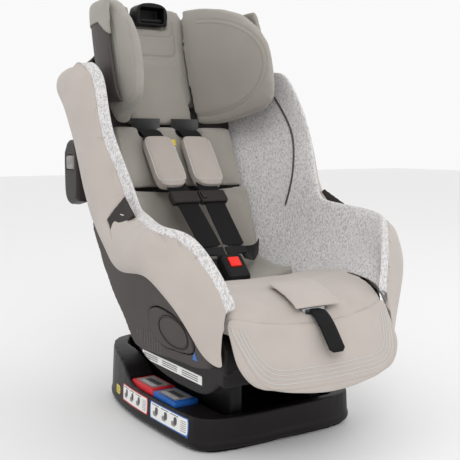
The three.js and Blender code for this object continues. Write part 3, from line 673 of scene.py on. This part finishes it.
def plump(obj, voxel, pressure, cap, shrink=0.3, seams=()):
    """Inflates a soft solid with Cloth, held along its seams. Only the outward part of the motion is kept."""
    set_coords(obj, coords(obj) - normals(obj) * shrink * MM)
    modify(obj, "REMESH", mode="VOXEL", voxel_size=voxel * MM)
    before = coords(obj)
    outward = normals(obj)
    held = near_paths(obj, seams, voxel * 0.9)
    cloth = obj.modifiers.new("cloth", "CLOTH")
    s = cloth.settings
    s.quality = 5
    s.mass = 0.3
    s.tension_stiffness = s.compression_stiffness = 12
    s.shear_stiffness = 5
    s.bending_stiffness = 0.4
    s.use_pressure = True
    s.uniform_pressure_force = pressure
    s.effector_weights.gravity = 0
    cloth.collision_settings.use_collision = False
    if held.any():
        group = obj.vertex_groups.new(name="held")
        group.add(np.nonzero(held)[0].tolist(), 1.0, "REPLACE")
        s.vertex_group_mass = "held"
    cloth.point_cache.frame_start = 1
    cloth.point_cache.frame_end = CLOTH_FRAMES
    for f in range(1, CLOTH_FRAMES + 1):
        SCENE.frame_set(f)
    graph = bpy.context.evaluated_depsgraph_get()
    evaluated = obj.evaluated_get(graph)
    mesh = evaluated.to_mesh()
    after = np.empty(len(mesh.vertices) * 3)
    mesh.vertices.foreach_get("co", after)
    evaluated.to_mesh_clear()
    obj.modifiers.clear()
    swell = ((after.reshape(-1, 3) - before) * outward).sum(1)
    limit = cap * MM
    swell = limit * np.tanh(np.maximum(swell, 0) / limit)
    set_coords(obj, before + outward * swell[:, None])
    SCENE.frame_set(1)
    modify(obj, "SMOOTH", factor=0.5, iterations=4)
    modify(obj, "SUBSURF", levels=1, render_levels=1)
    return smooth_shade(obj)


def creased(obj, amount, scale, seed):
    """Gentle uneven folds: moves the surface along its normals by noise, amount and scale in mm."""
    co = coords(obj) / MM
    off = Vector((seed, seed * 0.7, seed * 1.3))
    lift = [noise.noise(Vector(p) / scale + off) for p in co]
    set_coords(obj, (co + normals(obj) * (np.array(lift) * amount)[:, None]) * MM)
    return obj


def both(function):
    """Runs function(suffix, sign) for the left (-X) and the right (+X) side."""
    for suffix, sign in SIDES:
        function(suffix, sign)


def flip(points, sign):
    """The points with X mirrored when sign is -1."""
    return [(p[0] * sign, *p[1:]) for p in points]


# ---------------------------------------------------------------- base

def base():
    moulded("base_sole", "rubber", 2.0, 2)
    tub = moulded("base_tub", "base", 2.2, 4)
    half = [(50, -204, 12), (120, -190, 13), (139, -120, 14), (140, 0, 14), (119, 112, 14), (60, 158, 14)]
    skirt_seam = flip(half, -1) + [(0, 160, 14)] + half[::-1]
    groove(tub, skirt_seam, 1.6, 0.8, closed=True)
    for suffix, _ in SIDES:
        machined(f"guide_rail_{suffix}", "black", 1.0)
        machined(f"index_red_{suffix}", "red", 1.2)
        machined(f"index_blue_{suffix}", "blue", 1.2)
    tree = tree_of(tub)
    for suffix, sign in SIDES:
        setting_labels(tree, suffix, sign)
        index_labels(suffix, sign)


def setting_labels(tree, suffix, sign):
    """Two pictogram labels on the tub's wall: a white card with a coloured edge, figures and lines."""
    x, low, high, figures = sign * 138, 18, 43, 3
    for name, edge, back, front in (("red", "red_ink", 34, -56), ("blue", "blue_ink", -64, -166)):
        c = [(x, back, low), (x, front, low), (x, front, high), (x, back, high)]
        card = f"base_label_{name}_{suffix}"
        decal(card + "_edge", tree, c, edge, "base", (0, 0, 1, 1), 0.25, (16, 6), 0.03)
        decal(card + "_card", tree, c, "white", "base", (0.02, 0.06, 0.98, 0.94), 0.4, (16, 6), 0.03)
        for k in range(figures):
            u = 0.06 + 0.25 * k
            seat, back_rest = (u + 0.03, 0.22, u + 0.14, 0.5), (u + 0.09, 0.34, u + 0.17, 0.76)
            decal(f"{card}_seat_{k}", tree, c, "grey", "base", seat, 0.52, (4, 3), 0.3)
            decal(f"{card}_back_{k}", tree, c, "ink", "base", back_rest, 0.6, (4, 4), 0.4)
            decal(f"{card}_title_{k}", tree, c, "ink", "base", (u, 0.83, u + 0.2, 0.87), 0.55, (4, 1))
        for k in range(6):
            v = 0.18 + 0.11 * k
            decal(f"{card}_line_{k}", tree, c, "grey", "base", (0.82, v, 0.95, v + 0.035), 0.55, (3, 1))
    if sign < 0:
        mark = [(x, 72, 20), (x, 50, 20), (x, 50, 33), (x, 72, 33)]
        decal("base_mark", tree, mark, "yellow", "base", (0, 0, 1, 1), 0.25, (5, 4), 0.3)
        for k in range(3):
            bar = (0.15, 0.2 + 0.25 * k, 0.85, 0.28 + 0.25 * k)
            decal(f"base_mark_line_{k}", tree, mark, "ink", "base", bar, 0.4, (4, 1))


def index_labels(suffix, sign):
    """A grey card with a dark band on top of each index block."""
    for name, y0, y1 in (("red", -50, 4), ("blue", -116, -64)):
        block = bpy.data.objects[f"index_{name}_{suffix}_look"]
        tree = tree_of(block)
        top = 55.2 if name == "red" else 53.7
        corners = flip([(-126, y1, top), (-126, y0, top), (-97, y0, top), (-97, y1, top)], -sign)
        decal(f"index_card_{name}_{suffix}", tree, corners, "grey", "base", (0, 0, 1, 1), 0.2, (6, 4))
        band = (0.18, 0.42, 0.86, 0.7)
        decal(f"index_band_{name}_{suffix}", tree, corners, "ink", "base", band, 0.35, (5, 2))
        for k in range(3):
            bar = (0.1, 0.1 + 0.09 * k, 0.9, 0.14 + 0.09 * k)
            decal(f"index_line_{name}_{suffix}_{k}", tree, corners, "white", "base", bar, 0.3, (4, 1))


# ---------------------------------------------------------------- seat shell, side panels, running gear

def seat_body():
    moulded("seat_shell", "shell", 2.6, 6)
    pan = tree_of(moulded("seat_pan", "base", 2.2, 5))
    for suffix, sign in SIDES:
        skirt_label(pan, suffix, sign)
    moulded("undercarriage", "base", 3.0, 4)
    machined("recline_latch", "steel", 1.0)
    moulded("recline_handle", "clip", 1.2, 6)
    both(side_panel)
    both(side_pod)
    both(belt_hook)


def skirt_label(tree, suffix, sign):
    """A long plain label on the side of the pan, with bars for its lines."""
    x, back, front, low, high = sign * 124, -14, -186, 92, 104
    corners = [(x, back, low), (x, front, low), (x, front, high), (x, back, high)]
    decal(f"skirt_label_{suffix}", tree, corners, "white", "seat", cells=(30, 3))
    for block in range(3):
        for row in range(3):
            u, v = 0.03 + 0.33 * block, 0.2 + 0.24 * row
            bar = (u, v, u + 0.25, v + 0.09)
            decal(f"skirt_bar_{suffix}_{block}_{row}", tree, corners, "ink", "seat", bar, 0.4, (8, 1))


def side_panel(suffix, sign):
    panel = moulded(f"side_panel_{suffix}", "shell", 1.8, 5)
    holder = moulded(f"cup_holder_{suffix}", "shell", 1.2, 4)

    def lean(y, z, out=0.0):
        return (sign * (138 + 0.2 * (z - 120) + out), y, z)

    # round seat of the folded cup holder, with a proud rim
    ring = [lean(-150 + 38 * math.cos(a) - 6 * math.sin(a), 158 + 21 * math.sin(a) + 4 * math.cos(a), 1.5)
            for a in np.linspace(0, 2 * math.pi, 24, endpoint=False)]
    tree = tree_of(holder)
    groove(holder, ring, 2.4, 1.6, closed=True)
    tube(f"cup_rim_{suffix}", ring, tree, 0.9, "clip", f"cup_holder_{suffix}", -0.1, closed=True)
    # slanted vent slots behind the holder
    tree = tree_of(panel)
    for k in range(10):
        y = -30 - 7.2 * k
        top = 147 - 0.5 * abs(k - 5) * 1.2
        low = 128 - 1.5 * k + (6 if k == 0 else 0)
        path, up = laid(flow([lean(y, low), lean(y - 6, (low + top) / 2), lean(y - 9, top)], 3.0), tree, 0.05)
        sweep(f"vent_{suffix}_{k}", path, up, 2.4, 0.8, "ink", "seat", sides=8, ends=0.4)
    # blue marker at the front of the lower edge
    marker = [lean(-190, 130), lean(-204, 130), lean(-198, 142), lean(-196, 142)]
    decal(f"marker_{suffix}", tree, marker, "blue_ink", "seat", (0, 0, 1, 1), 0.3, (4, 4))


def side_pod(suffix, sign):
    pod = moulded(f"side_pod_{suffix}", "clip", 1.4, 6)
    machined(f"pod_button_{suffix}", "grey", 1.0)
    frame_path = [(sign * 192, y, z) for y, z in ((66, 390), (100, 390), (100, 364), (66, 364))]
    groove(pod, frame_path, 1.6, 0.8, closed=True)


def belt_hook(suffix, sign):
    hook = moulded(f"belt_hook_{suffix}", "clip", 1.4, 12)
    tree = tree_of(hook)
    mark = [(sign * 186, -86, 309), (sign * 186, -78, 309), (sign * 188, -78, 313), (sign * 188, -86, 313)]
    decal(f"hook_mark_{suffix}", tree, mark, "white", "seat", (0, 0.2, 1, 0.6), 0.3, (4, 2))


# ---------------------------------------------------------------- side upholstery

def lining_line():
    """A shallow arc down the lining, in the YZ plane."""
    return [(0, -13 + 65 * ((z - 345) / 138) ** 2, z) for z in np.linspace(483, 305, 16)]


def side(suffix, sign):
    cover = rounded(look(f"side_cover_{suffix}", "taupe"), 3)
    creased(cover, 0.8, 60, 3.0 * sign)
    lining = rounded(look(f"side_lining_{suffix}", "heather"), 3)
    creased(lining, 0.8, 45, 5.0 * sign)
    foam = look(f"side_foam_{suffix}", "foam")
    smooth_shade(foam, 40)
    tree = tree_of(lining)
    line = cast(lining_line(), tree, (sign, 0, 0))
    tube(f"lining_piping_{suffix}", line, tree, 1.7, "dark_piping", "seat", 0.6)


# ---------------------------------------------------------------- pads

def pads():
    back = plump(look("back_pad", "inner"), 4.5, 4.0, 3.5)
    creased(back, 0.5, 40, 2.0)
    pad_labels(tree_of(back))
    insert = plump(look("insert_pad", "inner"), 4.5, 4.0, 3.5)
    creased(insert, 0.5, 35, 4.0)
    cushion = plump(look("seat_cushion", "taupe"), 4.5, 4.0, 3.0)
    creased(cushion, 0.5, 50, 6.0)
    apron = rounded(look("front_apron", "taupe"), 4)
    creased(apron, 0.4, 40, 8.0)
    apron_lines(apron)


def pad_labels(tree):
    """Two plain labels sewn on between the shoulder pads."""
    top = [(-10, 126, 400), (10, 126, 400), (10, 132, 409), (-10, 132, 409)]
    decal("label_yellow", tree, top, "yellow", "seat", lift=0.8)
    low = [(-8, 108, 365), (8, 108, 365), (8, 125, 398), (-8, 125, 398)]
    decal("label_white", tree, low, "white", "seat", lift=0.8)
    for k in range(5):
        v = 0.1 + 0.17 * k
        decal(f"label_bar_{k}", tree, low, "ink", "seat", (0.12, v, 0.88, v + 0.06), 1.1, (6, 1))


def apron_curve(apron, tree, inset, lift, power=10):
    """A line across the apron, lift above its lower edge, that turns up near both sides."""
    low, high = span_mm(apron)
    half = high[0] - inset
    points = []
    for t in np.linspace(-1, 1, 25):
        s = math.sin(t * math.pi / 2)
        rise = (high[2] - 10 - low[2] - lift) * abs(s) ** power
        points.append((half * s, 0, low[2] + lift + rise))
    return cast(points, tree, FORWARD)


def apron_lines(apron):
    tree = tree_of(apron)
    hem = apron_curve(apron, tree, 2, 9)
    groove(apron, hem, 2.6, 1.2)
    stitches("apron_hem_stitch", apron_curve(apron, tree, 4, 12), tree, "stitch", "seat")
    for k in range(4):
        line = apron_curve(apron, tree, 18 - 4.5 * k, 32 - 5 * k)
        tube(f"apron_line_{k}", line, tree, 0.75, "piping", "seat", 0.1)


# ---------------------------------------------------------------- headrest

PATCH = u_curve(48, 612, 61, 0.3)
LIP = u_curve(44, 614, 28, 0.3)


def headrest():
    headrest_wrap(moulded("headrest_shell", "shell", 2.0, 5))
    moulded("handle_frame", "black", 1.2, 6)
    machined("headrest_lever", "black", 1.0)
    centre = look("headrest_center", "inner")
    tree = tree_of(centre)
    plump(centre, 3.6, 4.0, 3.0, 0.3, (cast(PATCH, tree, FORWARD), cast(LIP, tree, FORWARD)))
    tree = tree_of(centre)
    groove(centre, cast(PATCH, tree, FORWARD), 2.2, 1.3)
    groove(centre, cast(LIP, tree, FORWARD), 2.4, 1.6)
    inside = [(x * 0.93, y, z + 3) for x, y, z in PATCH]
    tree = tree_of(centre)
    stitches("patch_stitch", cast(inside, tree, FORWARD), tree, "stitch_inner", "headrest")
    both(wing)
    both(gusset)


GUSSET = [(57, 216, 632), (57, 208, 605), (57, 197, 560), (57, 182, 505), (57, 171, 466)]


def gusset(suffix, sign):
    """Cloth that joins the centre pad to a wing, down in the seam between them."""
    sweep(f"headrest_gusset_{suffix}", flow(flip(GUSSET, sign), 4.0), V3(0, -0.96, 0.28), 22, 14, "inner",
          "headrest", power=3.0, ends=0.5)


def headrest_wrap(shell):
    """The cloth that folds over the top of the headrest shell."""
    wrap = put("headrest_wrap", shell.data.copy(), "inner", "headrest")
    bm = bmesh.new()
    bm.from_mesh(wrap.data)
    bare = [v for v in bm.verts if v.co.z / MM < 586 - 0.6 * max(0, 91 - v.co.y / MM)]
    bmesh.ops.delete(bm, geom=bare, context="VERTS")
    bm.to_mesh(wrap.data)
    bm.free()
    modify(wrap, "SOLIDIFY", thickness=1.8 * MM, offset=1.0)
    smooth_shade(wrap)


def wing_seams(pad, sign):
    """The seam round the inner face, the one down the outer face and the one along the front edge."""
    tree = tree_of(pad)
    low, high = span_mm(pad)
    outward, inward = (sign, 0, 0), (-sign, 0, 0)
    face = c_curve(low[1] + 11, high[1] - 50, low[2] + 12, high[2] - 22, 0.1)
    outer = c_curve(low[1] + 52, low[1] + 95, low[2] + 28, high[2] - 24, 0.28)
    front = c_curve(low[1] + 14, low[1] + 48, low[2] + 30, high[2] - 34, 0.27)
    return [cast(face, tree, outward), cast(outer, tree, inward), cast(front, tree, inward)]


def wing(suffix, sign):
    pad = look(f"headrest_wing_{suffix}", "inner")
    plump(pad, 4.5, 4.0, 4.0, 0.3, wing_seams(pad, sign))
    for s in wing_seams(pad, sign):
        groove(pad, s, 2.4, 1.3)
    creased(pad, 0.4, 50, 7.0 * sign)
    low, high = span_mm(pad)
    inside = c_curve(low[1] + 17, high[1] - 50, low[2] + 18, high[2] - 28, 0.1)
    tree = tree_of(pad)
    stitches(f"wing_stitch_{suffix}", cast(inside, tree, (sign, 0, 0)), tree, "stitch_inner", "headrest")


# ---------------------------------------------------------------- harness

STRAP = [(37, 176, 427), (37, 140, 427), (36.5, 121, 421), (35.5, 104, 405), (32, 82, 374), (28.5, 58, 343),
         (23.6, 14.7, 301.9), (20.5, -39.5, 250.5)]
PAD = [(35.5, 110, 410), (35, 97, 395), (34, 76, 367), (33.6, 56, 341)]
ADJUSTER = [(0, -262.6, 193), (0, -276, 187), (0, -289, 175), (0, -300, 161), (0, -311, 147)]
CROTCH = [(0, -74, 124), (0, -74, 178), (0, -76, 192), (0, -84, 202)]


def strap(name, node, points, up, width, thick):
    """Flat webbing along a path, in the place of its CAD node."""
    path = flow(points, 4.0)
    obj = sweep(name, path, V3(*up), width, thick, "webbing", "seat", sides=16, power=5.0, ends=0.6)
    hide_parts(node)


def round_corners(co, sign):
    """Draws in the corners of a shoulder pad. co is in millimetres."""
    middle, along = V3(sign * 34.7, 83, 376), V3(0, 0.733, 0.68)
    v = (co - middle) @ along / 49.5
    u = (co[:, 0] - middle[0]) / 26.5
    co = co - along * (v * 6 * np.minimum(np.abs(u), 1) ** 4)[:, None]
    co[:, 0] -= u * 5 * np.minimum(np.abs(v), 1) ** 6
    return co


def shoulder_pad(suffix, sign):
    pad = plump(look(f"shoulder_pad_{suffix}", "taupe_pad"), 2.6, 4.0, 2.0)
    set_coords(pad, round_corners(coords(pad) / MM, sign) * MM)
    tree = tree_of(pad)

    def border(inset):
        down = [(x + 26 - inset, y - 5, z + 5) for x, y, z in PAD]
        back = [(x - 26 + inset, y - 5, z + 5) for x, y, z in reversed(PAD)]
        return [tuple(p) for p in round_corners(np.array(flip(down + back, sign), float), sign)]

    tube(f"pad_piping_{suffix}", border(0.5), tree, 0.9, "piping", "seat", 0.1)
    stitches(f"pad_stitch_{suffix}", border(6), tree, "stitch", "seat")


def slot_painted_shade(suffix, sign):
    """Painted shade: a black cloth box behind the strap slot that stands in for the shade inside the slot."""
    low, high = (sign * 37 - 26, 141, 404), (sign * 37 + 26, 143, 446)
    points = [(x, y, z) for z in (low[2], high[2]) for y in (low[1], high[1]) for x in (low[0], high[0])]
    faces = [(0, 2, 3, 1), (4, 5, 7, 6), (0, 1, 5, 4), (2, 6, 7, 3), (0, 4, 6, 2), (1, 3, 7, 5)]
    solid(f"slot_painted_shade_{suffix}", points, faces, "black_cloth", "seat")


def harness():
    for suffix, sign in SIDES:
        path = flip(STRAP, sign)
        strap(f"shoulder_webbing_{suffix}", f"shoulder_strap_{suffix}", path, (0, -0.69, 0.725), 37.4, 1.4)
        machined(f"hip_strap_{suffix}", "webbing", 0.6)
        # painted shade: a black box darkens each strap slot
        slot_painted_shade(suffix, sign)
        moulded(f"tongue_{suffix}", "black", 0.6, 3)
        shoulder_pad(suffix, sign)
        moulded(f"chest_clip_{suffix}", "clip", 0.7, 4)
    strap("crotch_webbing", "crotch_strap", CROTCH, (0, -1, 0.2), 38, 2)
    strap("adjuster_webbing", "adjuster_strap", ADJUSTER, (0, -0.7, 0.7), 25, 2.4)
    machined("chest_clip_button", "clip", 0.6)
    buckle = moulded("buckle_body", "black", 0.8, 5)
    set_coords(buckle, coords(buckle) * (0.86, 1, 1))
    button = machined("buckle_button", "button_red", 0.8)
    set_coords(button, coords(button) * (0.92, 1, 1))
    pad = plump(look("crotch_pad", "black_cloth"), 2.4, 3.0, 1.5)
    moulded("adjuster_housing", "steel", 1.0, 3)
    machined("adjuster_lever", "grey", 0.8)
    flap = plump(look("adjuster_flap", "taupe"), 1.8, 2.0, 1.0)


# ---------------------------------------------------------------- stage

def stage():
    SCENE.view_settings.view_transform = "Standard"
    area_light("key", (-1.2, -2.4, 2.4), (0, 0, 0.3), 1.6, 26)
    area_light("fill", (2.2, -1.2, 1.6), (0, 0, 0.3), 2.0, 8)
    world = bpy.data.worlds.new("studio")
    world.use_nodes = True
    sky = world.node_tree.nodes["Background"]
    sky.inputs["Color"].default_value = (1, 1, 1, 1)
    sky.inputs["Strength"].default_value = 0.95
    SCENE.world = world
    mesh = bpy.data.meshes.new("floor")
    reach = 9
    mesh.from_pydata([(-reach, -reach, 0), (reach, -reach, 0), (reach, reach, 0), (-reach, reach, 0)], [],
                     [(0, 1, 2, 3)])
    floor = bpy.data.objects.new("floor", mesh)
    floor.location.z = -0.0005
    SCENE.collection.objects.link(floor)
    t = Tree("studio_floor")
    n = t.noise(t.coords(), 3.0)
    grey = t.mix(t.math("MULTIPLY", n, 0.05), (0.86, 0.86, 0.86), (0.8, 0.8, 0.8))
    mesh.materials.append(t.done(grey, 0.7))


place_camera()
stage()
base()
seat_body()
both(side)
pads()
headrest()
harness()

for name, node in frame["nodes"].items():
    if not node.hide_render:
        print("CAD node still shown:", name)
